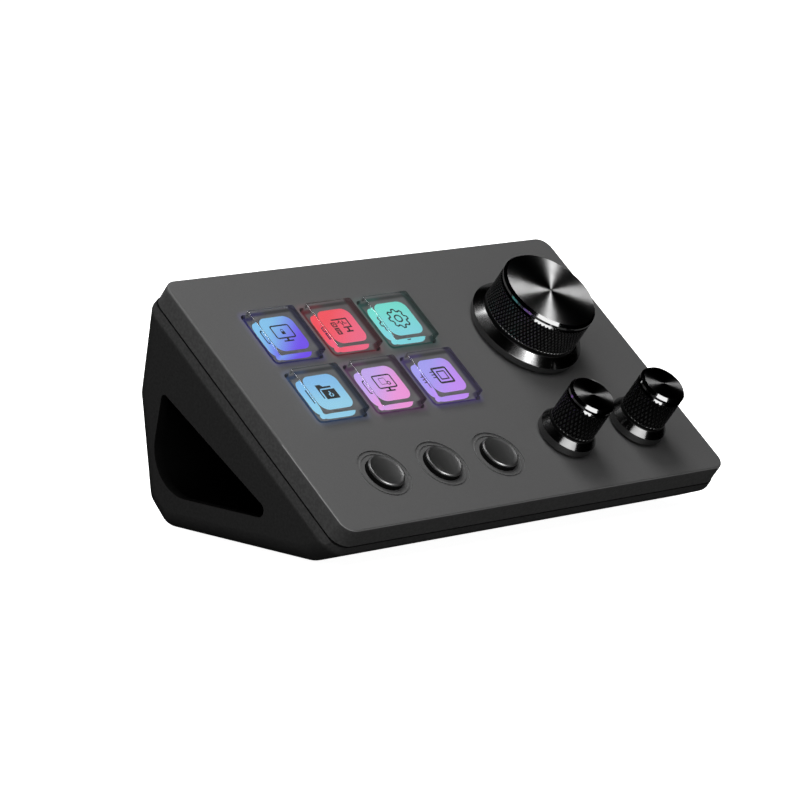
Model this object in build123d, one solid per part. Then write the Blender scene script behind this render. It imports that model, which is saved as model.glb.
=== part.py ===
from build123d import *
from math import cos, radians, sin
import os

# A wedge-shaped desk controller. A sloping top housing carries six clear display keys,
# three round buttons and three push-and-turn knobs. Below the joint line a hollow stand
# holds it up, with a three-cornered window in each side wall.
#
# Row frame: X to the right, Y to the back, Z up, origin on the desk under the middle.
# Slope frame: x across, y up the slope, z out of the panel, origin mid-panel.

# ---------------------------------------------------------------- driving sizes, mm
TILT = 37.5                     # slope of the panel above the desk, degrees
BODY_W = 132.0                  # across the side walls
PANEL_W, PANEL_D = 131.0, 80.2  # outline of the top panel
PANEL_CORNER_R = 3.6
PANEL_EDGE_R = 0.5
PANEL_T = 2.2
PANEL_HEIGHT = 34.65            # mid-panel above the desk
WALL = 2.4
PARTING = 5.2                   # joint line below the panel face
PARTING_GAP = 0.25
SHOULDER = 7.75                 # the band under the joint line ends here
FOOT_PROUD = 1.0                # rubber feet below the stand's floor
BACK_EDGE_Z = 31.9              # height of the crease across the back
BACK_EDGE_OUT = 40.0            # how far that crease stands behind mid-panel

KEY_PITCH = 19.05
KEY_COLUMNS = (-42.3, -23.25, -4.2)
KEY_ROWS = (18.95, -0.1)
KEY_TRAVEL = 1.0
BUTTON_ROW = -25.3
BUTTON_TRAVEL = 0.5
KNOB_TRAVEL = 0.5
BIG_KNOB_AT = (33.0, 10.4)
SMALL_KNOBS_AT = ((20.3, -23.2), (45.7, -23.2))

BOARD_TOP = -8.0                # heights in the slope frame
BOARD_T = 1.6
DECK_TOP = -13.2
DECK_T = 1.8
RUNNING_GAP = 0.05              # shaft in bearing, each side


# ---------------------------------------------------------------- frames and helpers
def slope_to_side(y, z):
    """A point of the slope frame as (Y, Z) from mid-panel, in the row frame's directions."""
    a = radians(TILT)
    return (y * cos(a) - z * sin(a), y * sin(a) + z * cos(a))


# The back crease and the rounded front edge of the panel are the ends of the whole depth.
front_edge_y = slope_to_side(-(PANEL_D / 2 - PANEL_EDGE_R), -PANEL_EDGE_R)[0] - PANEL_EDGE_R
CREASE_R = 3.0
crease_lean_up, crease_lean_down = 7.7, 9.2     # the two back facets off plumb, degrees
crease_set_back = CREASE_R * (1 / cos(radians((crease_lean_up + crease_lean_down) / 2)) - 1)
back_edge_y = BACK_EDGE_OUT - crease_set_back
PANEL_Y = -(front_edge_y + back_edge_y) / 2

SLOPE = Plane(
    origin=(0, PANEL_Y, PANEL_HEIGHT),
    x_dir=(1, 0, 0),
    z_dir=(0, -sin(radians(TILT)), cos(radians(TILT))),
)


def on_slope(shape):
    return SLOPE.location * shape


def side_point(y, z):
    """A slope-frame point as row (Y, Z)."""
    across, up = slope_to_side(y, z)
    return (across + PANEL_Y, up + PANEL_HEIGHT)


def prism(sketch, low, high):
    """A sketch in the XY plane, standing from height low to height high."""
    return extrude(Pos(0, 0, low) * sketch, high - low)


def post(x, y, radius, low, high):
    return prism(Pos(x, y) * Circle(radius), low, high)


def tube(x, y, radius, bore, low, high):
    return post(x, y, radius, low, high) - post(x, y, bore, low, high)


def turned(points):
    """Revolve an (r, z) outline about Z."""
    outline = [(r, 0, z) for r, z in points]
    return revolve(make_face(Polyline(*outline, close=True)), Axis.Z)


# ---------------------------------------------------------------- outer form
BAND_W, BAND_D = 131.2, 80.6    # outline at the joint line
BAND_CORNER_R = 4.2

FLOOR_Z = FOOT_PROUD
CHIN_Y = PANEL_Y - 18.6             # where the front chin meets the floor
HEEL_Y = PANEL_Y + 29.85            # where the floor meets the heel facet
HEEL_TOP = (PANEL_Y + 35.8, 6.85)   # where the heel facet meets the lower back facet


def side_profile(top):
    """The stand's outline seen from the side, open upwards to slope height top."""
    return [
        side_point(-BAND_D / 2, top),
        side_point(-BAND_D / 2 - 0.15, -SHOULDER),
        (CHIN_Y, FLOOR_Z),
        (HEEL_Y, FLOOR_Z),
        HEEL_TOP,
        (PANEL_Y + BACK_EDGE_OUT, BACK_EDGE_Z),
        side_point(BAND_D / 2 + 0.35, -SHOULDER),
        side_point(BAND_D / 2, top),
    ]


PROFILE_RADII = [0, 3.0, 8.0, 5.0, 5.0, CREASE_R, 2.0, 0]
SIDE_EDGE_R = 4.2


def profile_face(top):
    outline = FilletPolyline(*side_profile(top), radius=PROFILE_RADII, close=True)
    return Plane.YZ * make_face(outline)


def above(height, reach=120):
    """Everything above a slope height, as a block in the slope frame."""
    return prism(Rectangle(2 * BODY_W, 2 * BODY_W), height, height + reach)


def stand_outside():
    top = -PARTING - PARTING_GAP
    body = extrude(profile_face(top), BODY_W / 2, both=True)
    ends = body.edges().group_by(Axis.X)
    cut_plane = [side_point(y, top) for y in (-BAND_D / 2, BAND_D / 2)]
    rim_z = sum(z for _, z in cut_plane) / 2
    rounded = [
        e for e in ends[0] + ends[-1]
        if abs(e.center().Z - rim_z) > 0.5 or abs(e.center().Y - PANEL_Y) > 6
    ]
    body = fillet(rounded, SIDE_EDGE_R)
    flare = Polyline(
        (-BAND_W / 2, top), (-BODY_W / 2, -SHOULDER), (-BODY_W / 2 - 1, -90),
        (BODY_W / 2 + 1, -90), (BODY_W / 2, -SHOULDER), (BAND_W / 2, top), close=True,
    )
    wedge = extrude(Plane.XZ * make_face(flare), PANEL_D * 2, both=True)
    return body & on_slope(wedge)


def stand_inside():
    """The hollow of the stand, open through the top."""
    room = offset(profile_face(2.0), -WALL, kind=Kind.INTERSECTION)
    return extrude(room, BODY_W / 2 - WALL, both=True)


# ---------------------------------------------------------------- top housing
LIP_T = 1.0                     # tongue of the stand that locates the top housing
LIP_SET_IN = 1.4
LIP_TOP = -3.4
KEY_HOLE, KEY_HOLE_R = 16.1, 1.2
DISH_R, DISH_DEPTH = 7.2, 0.32
RIDGE_R, RIDGE_W = 6.5, 0.35
BUTTON_R, BUTTON_HOLE_R = 4.85, 5.0
BUSHING_R, BUSHING_HOLE_R = 3.5, 3.8

DECK_SCREWS_AT = (
    (-59.2, 29.8), (59.2, 29.8), (16.0, 29.8), (-59.2, -28.0), (59.2, -28.0), (6.6, -28.0),
)
BOARD_SCREWS_AT = ((-56.0, 20.0), (55.5, 21.0), (-56.0, -22.0), (55.5, -12.0))
DECK_BOSS_R, BOARD_BOSS_R = 3.2, 2.5
DECK_PILOT_R, BOARD_PILOT_R = 1.1, 0.8

key_places = [(x, y) for y in KEY_ROWS for x in KEY_COLUMNS]
button_places = [(x, BUTTON_ROW) for x in KEY_COLUMNS]
knob_places = [BIG_KNOB_AT, *SMALL_KNOBS_AT]


def top_housing():
    skirt = loft([
        Pos(0, 0, -PARTING) * RectangleRounded(BAND_W, BAND_D, BAND_CORNER_R),
        RectangleRounded(PANEL_W, PANEL_D, PANEL_CORNER_R),
    ])
    shell = fillet(skirt.faces().sort_by(Axis.Z)[-1].edges(), PANEL_EDGE_R)
    inner_w, inner_d = PANEL_W - 2 * WALL, PANEL_D - 2 * WALL
    shell -= prism(RectangleRounded(inner_w, inner_d, 1.8), -PARTING, -PANEL_T)
    step_w, step_d = BAND_W - 2 * LIP_SET_IN + 0.1, BAND_D - 2 * LIP_SET_IN + 0.1
    shell -= prism(RectangleRounded(step_w, step_d, 2.8), -PARTING, LIP_TOP)
    for x, y in key_places:
        shell -= prism(Pos(x, y) * RectangleRounded(KEY_HOLE, KEY_HOLE, KEY_HOLE_R), -PANEL_T, 0)
    for x, y in button_places:
        dish = post(x, y, DISH_R, -DISH_DEPTH, 0)
        ridge = tube(x, y, RIDGE_R, RIDGE_R - RIDGE_W, -DISH_DEPTH, -0.1)
        shell -= dish - ridge
        shell -= post(x, y, BUTTON_HOLE_R, -PANEL_T, 0)
    for x, y in knob_places:
        shell -= post(x, y, BUSHING_HOLE_R, -PANEL_T, 0)
    for x, y in DECK_SCREWS_AT:
        shell += tube(x, y, DECK_BOSS_R, DECK_PILOT_R, DECK_TOP, -PANEL_T)
    for x, y in BOARD_SCREWS_AT:
        shell += tube(x, y, BOARD_BOSS_R, BOARD_PILOT_R, BOARD_TOP, -PANEL_T)
    return on_slope(shell)


# ---------------------------------------------------------------- stand
WINDOW = [(-13.6, 9.0), (30.7, 9.0), (26.15, 33.4)]     # corners in row (Y, Z)
WINDOW_RADII = [1.8, 11.0, 1.2]

FOOT_R, FOOT_T, FOOT_SINK = 5.0, 2.0, 1.0
FEET_AT = ((-50.0, -13.5), (50.0, -13.5), (-50.0, 17.0), (50.0, 17.0))
FRONT_FEET = FEET_AT[:2]
STAND_SCREW_R, STAND_HEAD_R = 1.3, 2.3
STAND_HEAD_TOP = FLOOR_Z + FOOT_SINK + 1.2
SEAT_R, SEAT_TOP = 4.5, 5.0     # pad round each stand screw, inside the floor

HOOKS_X = (-38.0, 38.0)         # lugs on the back wall that hold the deck's back edge down
HOOK_W, HOOK_T, HOOK_IN = 8.0, 1.5, 3.4

# The charging and data socket looks out of the upper back facet.
back_shoulder = side_point(BAND_D / 2 + 0.35, -SHOULDER)
back_crease = (PANEL_Y + BACK_EDGE_OUT, BACK_EDGE_Z)
facet_run = (back_crease[0] - back_shoulder[0], back_crease[1] - back_shoulder[1])
facet_len = (facet_run[0] ** 2 + facet_run[1] ** 2) ** 0.5
USB_DOWN = 3.8                  # socket's middle below the shoulder, along the facet
usb_share = USB_DOWN / facet_len
usb_at = (0, back_shoulder[0] + facet_run[0] * usb_share, back_shoulder[1] + facet_run[1] * usb_share)
# Frame of the socket: x across, y up the facet, z straight out of it.
USB = Plane(origin=usb_at, x_dir=(-1, 0, 0), z_dir=(0, -facet_run[1], facet_run[0]))
USB_W, USB_H, USB_L = 8.94, 3.26, 7.3
USB_BOARD_W, USB_BOARD_L, USB_BOARD_T = 18.0, 6.6, 1.0
USB_SINK = 0.3                  # mouth of the socket below the outer face


def base_shell():
    shell = stand_outside() - stand_inside()
    lip_w, lip_d = BAND_W - 2 * LIP_SET_IN, BAND_D - 2 * LIP_SET_IN
    lip = RectangleRounded(lip_w, lip_d, 2.8)
    lip -= RectangleRounded(lip_w - 2 * LIP_T, lip_d - 2 * LIP_T, 1.8)
    shell += on_slope(prism(lip, -PARTING - 2.0, LIP_TOP))
    outline = FilletPolyline(*WINDOW, radius=WINDOW_RADII, close=True)
    shell -= extrude(Plane.YZ * make_face(outline), BODY_W, both=True)
    for x, y in FRONT_FEET:
        shell += post(x, y, SEAT_R, FLOOR_Z + WALL, SEAT_TOP)
    for x, y in FEET_AT:
        shell -= post(x, y, FOOT_R + 0.1, FLOOR_Z, FLOOR_Z + FOOT_SINK)
    for x, y in FRONT_FEET:
        shell -= post(x, y, STAND_HEAD_R + 0.2, FLOOR_Z, STAND_HEAD_TOP)
        shell -= post(x, y, STAND_SCREW_R + 0.15, FLOOR_Z, SEAT_TOP)
    for x in HOOKS_X:
        hook = prism(Pos(x, 33.0) * Rectangle(HOOK_W, 7.0), DECK_TOP, DECK_TOP + HOOK_T)
        shell += on_slope(hook) & stand_outside()
    ledge_l = USB_BOARD_L + WALL - 0.6
    for side in (-1, 1):
        ledge = Pos(side * (USB_BOARD_W / 2 - 1.25), -USB_H / 2 - USB_BOARD_T - 0.75, -ledge_l / 2)
        shell += (USB.location * ledge * Box(2.5, 1.5, ledge_l)) & stand_outside()
    mouth = prism(SlotOverall(USB_W + 0.4, USB_H + 0.4), -WALL - 0.5, 1)
    return shell - USB.location * mouth


# ---------------------------------------------------------------- inner deck and boards
DECK_W = 124.4
DECK_FRONT, DECK_BACK = -31.6, 33.2
BOARD_W, BOARD_FRONT, BOARD_BACK = 116.0, -31.0, 29.3


def span(width, front, back, radius):
    return Pos(0, (front + back) / 2) * RectangleRounded(width, back - front, radius)


def inner_deck():
    deck = prism(span(DECK_W, DECK_FRONT, DECK_BACK, 2.0), DECK_TOP - DECK_T, DECK_TOP)
    for x, y in DECK_SCREWS_AT:
        deck -= post(x, y, DECK_PILOT_R + 0.3, DECK_TOP - DECK_T, DECK_TOP)
    for x in (-24.0, 0.0, 24.0):
        deck += prism(Pos(x, 0) * Rectangle(1.2, 46.0), DECK_TOP, DECK_TOP + 1.2)
    deck = on_slope(deck)
    under_deck = on_slope(above(DECK_TOP - DECK_T / 2))
    for x, y in FRONT_FEET:
        deck += post(x, y, 3.6, SEAT_TOP, SEAT_TOP + 12) - under_deck
        deck -= post(x, y, STAND_SCREW_R, SEAT_TOP, SEAT_TOP + 12)
    return deck


def main_board():
    board = prism(span(BOARD_W, BOARD_FRONT, BOARD_BACK, 1.5), BOARD_TOP - BOARD_T, BOARD_TOP)
    for x, y in DECK_SCREWS_AT:
        board -= post(x, y, DECK_BOSS_R + 0.5, BOARD_TOP - BOARD_T, BOARD_TOP)
    for x, y in BOARD_SCREWS_AT:
        board -= post(x, y, BOARD_PILOT_R + 0.3, BOARD_TOP - BOARD_T, BOARD_TOP)
    board -= prism(Pos(0, BOARD_BACK) * Rectangle(22.0, 5.6), BOARD_TOP - BOARD_T, BOARD_TOP)
    chips = ((-23.0, 9.0, 10.0, 10.0, 1.4), (20.0, 3.0, 7.0, 7.0, 1.2), (-44.0, -8.0, 5.0, 6.0, 1.1))
    for x, y, w, d, t in chips:
        board += prism(Pos(x, y) * Rectangle(w, d), BOARD_TOP - BOARD_T - t, BOARD_TOP - BOARD_T)
    return on_slope(board)


def usb_board():
    low = -USB_H / 2 - USB_BOARD_T
    board = Pos(0, low + USB_BOARD_T / 2, -WALL - USB_BOARD_L / 2 - 0.1)
    return USB.location * board * Box(USB_BOARD_W, USB_BOARD_T, USB_BOARD_L)


def usb_socket():
    """Drawn steel shell round a moulded tongue."""
    back = -USB_SINK - USB_L
    shell = prism(SlotOverall(USB_W, USB_H), back, -USB_SINK)
    shell -= prism(SlotOverall(USB_W - 0.6, USB_H - 0.6), back + 1.2, -USB_SINK)
    tongue = prism(Rectangle(6.6, 0.7), back + 1.0, -USB_SINK - 0.8)
    return USB.location * (shell + tongue)


def usb_ribbon():
    """Flat flex from under the socket's board to the underside of the main board."""
    width, thick = 6.0, 0.3
    under = -USB_H / 2 - USB_BOARD_T - thick / 2
    board_end = -WALL - 0.1 - USB_BOARD_L
    glued = USB.location * Pos(0, under, board_end + 2.6)
    lifts = USB.location * Pos(0, under, board_end + 0.5)
    below_board = BOARD_TOP - BOARD_T - thick / 2
    path = FilletPolyline(
        (glued.position.Y, glued.position.Z), (lifts.position.Y, lifts.position.Z),
        side_point(27.6, below_board), side_point(21.0, below_board), radius=0.6,
    )
    strip = trace(path, line_width=thick)
    return extrude(Plane.YZ * strip, width / 2, both=True)


# ---------------------------------------------------------------- display keys
CAP_TOP = 2.4                   # cap above the panel, its foot level with the panel face
CAP_TOP_W, CAP_TOP_R = 15.0, 0.6
CAP_FOOT_W, CAP_FOOT_R = 15.7, 2.2
CAP_BEVEL = 0.2
DISPLAY_W, DISPLAY_R, DISPLAY_T = 10.4, 2.4, 0.35
FLANGE_W, FLANGE_T = 17.5, 1.2
FLANGE_TOP = -PANEL_T - 0.1
STEM_R, STEM_ROOT_R = 1.7, 3.0
STEM_ROOT_END = -4.1
SWITCH_FLOOR = 0.3              # bottom of a switch case, above the board
STEM_END = BOARD_TOP + SWITCH_FLOOR + KEY_TRAVEL + 0.1
WELL_W = 17.9                   # room for the flange in the guide
GUIDE_HOLE_R = 3.3


def display_outline(x, y):
    return Pos(x, y) * RectangleRounded(DISPLAY_W, DISPLAY_W, DISPLAY_R)


def key_cap(x, y):
    """Clear drafted block with a polished bevel. The display is bonded into its underside."""
    block = loft([
        Pos(x, y) * RectangleRounded(CAP_FOOT_W, CAP_FOOT_W, CAP_FOOT_R),
        Pos(x, y, CAP_TOP) * RectangleRounded(CAP_TOP_W, CAP_TOP_W, CAP_TOP_R),
    ])
    block = chamfer(block.faces().sort_by(Axis.Z)[-1].edges(), CAP_BEVEL)
    return on_slope(block - prism(display_outline(x, y), 0, DISPLAY_T))


def key_display(x, y):
    return on_slope(prism(display_outline(x, y), 0, DISPLAY_T))


def key_carrier(x, y):
    """Tray under the cap, with a flange that stops under the panel and a stem for the switch."""
    tray = prism(Pos(x, y) * RectangleRounded(CAP_FOOT_W, CAP_FOOT_W, CAP_FOOT_R), FLANGE_TOP, 0)
    tray += prism(Pos(x, y) * Rectangle(FLANGE_W, FLANGE_W), FLANGE_TOP - FLANGE_T, FLANGE_TOP)
    tray += post(x, y, STEM_ROOT_R, STEM_ROOT_END, FLANGE_TOP)
    tray += post(x, y, STEM_R, STEM_END, FLANGE_TOP)
    return on_slope(tray)


GUIDE_LOW = -6.6


def key_guide():
    """One moulded plate with six wells under the panel; each well has a holed floor."""
    mid_x, mid_y = KEY_COLUMNS[1], sum(KEY_ROWS) / 2
    outline = Pos(mid_x, mid_y) * RectangleRounded(3 * KEY_PITCH + 1.6, 2 * KEY_PITCH + 1.6, 1.5)
    plate = prism(outline, GUIDE_LOW + 0.8, -PANEL_T)
    for x, y in key_places:
        plate -= prism(Pos(x, y) * Rectangle(WELL_W, WELL_W), -PANEL_T - 3.0, -PANEL_T)
        plate -= post(x, y, GUIDE_HOLE_R, GUIDE_LOW, -PANEL_T)
    rim = prism(outline, BOARD_TOP, GUIDE_LOW + 0.8)
    inner = Pos(mid_x, mid_y) * RectangleRounded(3 * KEY_PITCH - 1.2, 2 * KEY_PITCH - 1.2, 1.0)
    return on_slope(plate + (rim - prism(inner, BOARD_TOP, GUIDE_LOW + 0.8)))


KEY_SWITCH_W, KEY_SWITCH_H = 7.0, 2.0
SLIDER_GAP = 0.08


def key_switch(x, y):
    """Low switch on the board. The key's stem slides in its bore."""
    top = BOARD_TOP + KEY_SWITCH_H
    case = Pos(x, y) * RectangleRounded(KEY_SWITCH_W, KEY_SWITCH_W, 0.6)
    body = prism(case, BOARD_TOP, top)
    return on_slope(body - post(x, y, STEM_R + SLIDER_GAP, BOARD_TOP + SWITCH_FLOOR, top))


# ---------------------------------------------------------------- buttons
BUTTON_TOP, BUTTON_FLANGE_R = 1.3, 5.9
SWITCH_W, SWITCH_H = 6.0, 3.4
switch_top = BOARD_TOP + SWITCH_H
PLUNGER_TOP = -3.4
PLUNGER_R = 1.7


def button_cap(x, y):
    """Round cap with a shallow dished top and a retaining flange under the panel."""
    cap = turned([
        (0, PLUNGER_TOP), (2.4, PLUNGER_TOP), (2.4, -PANEL_T - 1.0), (BUTTON_FLANGE_R, -PANEL_T - 1.0),
        (BUTTON_FLANGE_R, -PANEL_T - 0.1), (BUTTON_R, -PANEL_T - 0.1), (BUTTON_R, BUTTON_TOP - 0.45),
        (BUTTON_R - 0.45, BUTTON_TOP), (BUTTON_R - 1.0, BUTTON_TOP - 0.1), (0, BUTTON_TOP - 0.35),
    ])
    return on_slope(Pos(x, y) * cap)


def switch_body(x, y):
    body = prism(Pos(x, y) * RectangleRounded(SWITCH_W, SWITCH_W, 0.6), BOARD_TOP, switch_top)
    return on_slope(body - post(x, y, PLUNGER_R + SLIDER_GAP, BOARD_TOP + 1.2, switch_top))


def switch_plunger(x, y):
    foot = BOARD_TOP + 1.2 + BUTTON_TRAVEL + 0.2
    return on_slope(post(x, y, PLUNGER_R, foot, PLUNGER_TOP))


# ---------------------------------------------------------------- encoders
ENCODER_W, ENCODER_D = 12.0, 12.4
ENCODER_TOP = -2.5
BUSHING_TOP = 1.6
SHAFT_R = 3.0
ROTOR_R, ROTOR_LOW, ROTOR_HIGH = 4.6, -5.4, -4.0
WELL_R, WELL_LOW, WELL_HIGH = 4.8, -7.0, -3.9
PUSHER_R, PUSHER_LOW = 2.0, WELL_LOW + KNOB_TRAVEL + 0.2


def encoder_body(x, y):
    body = prism(Pos(x, y) * RectangleRounded(ENCODER_W, ENCODER_D, 0.6), BOARD_TOP, ENCODER_TOP)
    body += post(x, y, BUSHING_R, ENCODER_TOP, BUSHING_TOP)
    body -= post(x, y, WELL_R, WELL_LOW, WELL_HIGH)
    body -= post(x, y, SHAFT_R + RUNNING_GAP, WELL_HIGH, BUSHING_TOP)
    return on_slope(body)


def encoder_pusher(x, y):
    """The push switch's plunger under the shaft. It rides down but doesn't turn."""
    return on_slope(post(x, y, PUSHER_R, PUSHER_LOW, ROTOR_LOW))


def encoder_shaft(x, y, top):
    """Steel shaft with its contact rotor and a flat for the knob."""
    shaft = post(x, y, SHAFT_R, ROTOR_HIGH, top) + post(x, y, ROTOR_R, ROTOR_LOW, ROTOR_HIGH)
    flat = Pos(x, y + SHAFT_R + 0.5, (top + 4.0) / 2) * Box(2 * SHAFT_R, 4.0, top - 4.0)
    return on_slope(shaft - flat)


# ---------------------------------------------------------------- knobs
KNOB_TOP = 14.8
BIG_KNOB = dict(body=12.65, skirt=14.98, foot=14.72, neck=4.35, core_r=9.0)
SMALL_KNOB = dict(body=6.03, skirt=7.38, foot=7.42, neck=4.2, core_r=4.9)
SKIRT_LOW = KNOB_TRAVEL + 0.1   # skirt above the panel
SKIRT_TOP = 2.57                # sharp edge between the skirt's wall and its cone
CORE_LOW = 2.4
KNOB_ROOF = 1.8
RIM_BEVEL, RIM_FALL = 0.6, 0.75     # bevel round the face: inwards and down
GROOVE_TOP, GROOVE_LOW = 1.35, 1.6  # groove below the face
GROOVE_DEPTH = 0.35
CHAMFER_END = 2.2                   # chamfer under the groove runs out on the barrel here


def knob_shell(x, y, size):
    """Turned aluminium: flared skirt, barrel, chamfer, groove and bevelled face."""
    r, roof = size["body"], KNOB_TOP - KNOB_ROOF
    shell = turned([
        (size["core_r"], SKIRT_LOW + 1.0), (size["foot"] - 1.2, SKIRT_LOW), (size["foot"], SKIRT_LOW),
        (size["skirt"], SKIRT_TOP), (r + 0.1, size["neck"] - 0.1), (r, size["neck"] + 0.1),
        (r, KNOB_TOP - CHAMFER_END), (r - GROOVE_DEPTH, KNOB_TOP - GROOVE_LOW),
        (r - GROOVE_DEPTH, KNOB_TOP - GROOVE_TOP), (r, KNOB_TOP - GROOVE_TOP),
        (r, KNOB_TOP - RIM_FALL), (r - RIM_BEVEL, KNOB_TOP), (0, KNOB_TOP),
        (0, roof), (size["core_r"], roof),
    ])
    return on_slope(Pos(x, y) * shell)


def knob_core(x, y, size, shaft_top):
    """Nylon insert pressed into the shell, with the D-shaped bore that grips the shaft."""
    core = post(x, y, size["core_r"], CORE_LOW, KNOB_TOP - KNOB_ROOF)
    bore = post(x, y, SHAFT_R, CORE_LOW, shaft_top)
    flat = Pos(x, y + SHAFT_R + 0.5, (shaft_top + 4.0) / 2) * Box(2 * SHAFT_R, 4.0, shaft_top - 4.0)
    relief = post(x, y, BUSHING_R + 0.4, CORE_LOW - 1, CORE_LOW + 0.3)
    return on_slope(core - (bore - flat) - relief)


# ---------------------------------------------------------------- fasteners and feet
def screw(x, y, radius, head_r, head_low, head_t, tip):
    return post(x, y, head_r, head_low, head_low + head_t) + post(x, y, radius, head_low, tip)


def deck_screws():
    low = DECK_TOP - DECK_T - 1.3
    return [on_slope(screw(x, y, 1.1, 2.1, low, 1.3, DECK_TOP + 6.0)) for x, y in DECK_SCREWS_AT]


def board_screws():
    low = BOARD_TOP - BOARD_T - 1.0
    return [on_slope(screw(x, y, 0.8, 1.6, low, 1.0, BOARD_TOP + 4.0)) for x, y in BOARD_SCREWS_AT]


def stand_screws():
    low = STAND_HEAD_TOP - 1.2
    return [screw(x, y, STAND_SCREW_R, STAND_HEAD_R, low, 1.2, SEAT_TOP + 5.0) for x, y in FRONT_FEET]


def rubber_feet():
    feet = []
    for x, y in FEET_AT:
        foot = post(x, y, FOOT_R, 0, FLOOR_Z + FOOT_SINK)
        feet.append(chamfer(foot.edges().group_by(Axis.Z)[0], 0.3))
    return feet


# ---------------------------------------------------------------- the whole part
def build():
    nodes = {
        "top_housing": top_housing(),
        "base_shell": base_shell(),
        "inner_deck": inner_deck(),
        "main_board": main_board(),
        "usb_board": usb_board(),
        "usb_socket": usb_socket(),
        "usb_ribbon": usb_ribbon(),
        "key_guide": key_guide(),
        "deck_screws": deck_screws(),
        "board_screws": board_screws(),
        "stand_screws": stand_screws(),
        "rubber_feet": rubber_feet(),
    }
    for number, (x, y) in enumerate(key_places, 1):
        nodes[f"key_cap_{number}"] = key_cap(x, y)
        nodes[f"key_display_{number}"] = key_display(x, y)
        nodes[f"key_carrier_{number}"] = key_carrier(x, y)
        nodes[f"key_switch_{number}"] = key_switch(x, y)
    for number, (x, y) in enumerate(button_places, 1):
        nodes[f"button_cap_{number}"] = button_cap(x, y)
        nodes[f"switch_body_{number}"] = switch_body(x, y)
        nodes[f"switch_plunger_{number}"] = switch_plunger(x, y)
    shaft_top = KNOB_TOP - KNOB_ROOF - 0.6
    for name, (x, y), size in zip(
        ("big", "left", "right"), knob_places, (BIG_KNOB, SMALL_KNOB, SMALL_KNOB)
    ):
        nodes[f"{name}_encoder_body"] = encoder_body(x, y)
        nodes[f"{name}_encoder_pusher"] = encoder_pusher(x, y)
        nodes[f"{name}_encoder_shaft"] = encoder_shaft(x, y, shaft_top)
        nodes[f"{name}_knob_core"] = knob_core(x, y, size, shaft_top)
        nodes[f"{name}_knob_shell"] = knob_shell(x, y, size)
    return nodes


os.makedirs("parts", exist_ok=True)
for node_name, shape in build().items():
    pieces = shape if isinstance(shape, list) else shape.solids()
    solid = pieces[0] if len(pieces) == 1 else Compound(children=list(pieces))
    export_step(solid, f"parts/{node_name}.step")
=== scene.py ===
import bpy
import bmesh
from math import cos, pi, radians, sin
from mathutils import Euler, Matrix, Vector


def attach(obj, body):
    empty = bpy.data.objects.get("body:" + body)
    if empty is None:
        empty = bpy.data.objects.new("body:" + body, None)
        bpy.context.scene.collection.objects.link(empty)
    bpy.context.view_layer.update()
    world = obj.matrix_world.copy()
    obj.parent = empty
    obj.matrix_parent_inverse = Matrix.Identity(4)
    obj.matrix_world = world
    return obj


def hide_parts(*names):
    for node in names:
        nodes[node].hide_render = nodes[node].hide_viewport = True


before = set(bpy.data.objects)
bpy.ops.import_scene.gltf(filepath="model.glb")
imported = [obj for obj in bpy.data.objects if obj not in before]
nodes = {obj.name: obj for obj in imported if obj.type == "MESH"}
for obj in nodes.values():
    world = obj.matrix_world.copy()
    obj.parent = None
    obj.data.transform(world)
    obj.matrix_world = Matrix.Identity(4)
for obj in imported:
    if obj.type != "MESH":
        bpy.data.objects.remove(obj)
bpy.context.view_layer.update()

# ---------------------------------------------------------------- studio
# The maker's bench view: a pale floor, a wide soft box overhead, two in front that only
# reflections see, four weak fills that reflections don't see, and a long lens a metre away.
MM = 0.001

REACH = 4.0                     # metres from the middle of the floor to its edges
floor_mesh = bpy.data.meshes.new("floor")
floor_corners = [(-REACH, -REACH, 0), (REACH, -REACH, 0), (REACH, REACH, 0), (-REACH, REACH, 0)]
floor_mesh.from_pydata(floor_corners, [], [(0, 1, 2, 3)])
floor = bpy.data.objects.new("floor", floor_mesh)
bpy.context.collection.objects.link(floor)


class Wire:
    """An output socket that takes part in sums and comparisons by adding Math nodes."""

    def __init__(self, finish, socket):
        self.finish = finish
        self.socket = socket

    def _math(self, operation, *others):
        inputs = {i: other for i, other in enumerate((self, *others))}
        return self.finish.node("ShaderNodeMath", {"operation": operation}, inputs)

    def __add__(self, other):
        return self._math("ADD", other)

    __radd__ = __add__

    def __sub__(self, other):
        return self._math("SUBTRACT", other)

    def __rsub__(self, other):
        return (self * -1.0) + other

    def __mul__(self, other):
        return self._math("MULTIPLY", other)

    __rmul__ = __mul__

    def __truediv__(self, other):
        return self._math("DIVIDE", other)

    def __abs__(self):
        return self._math("ABSOLUTE")

    def __lt__(self, other):
        return self._math("LESS_THAN", other)


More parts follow.
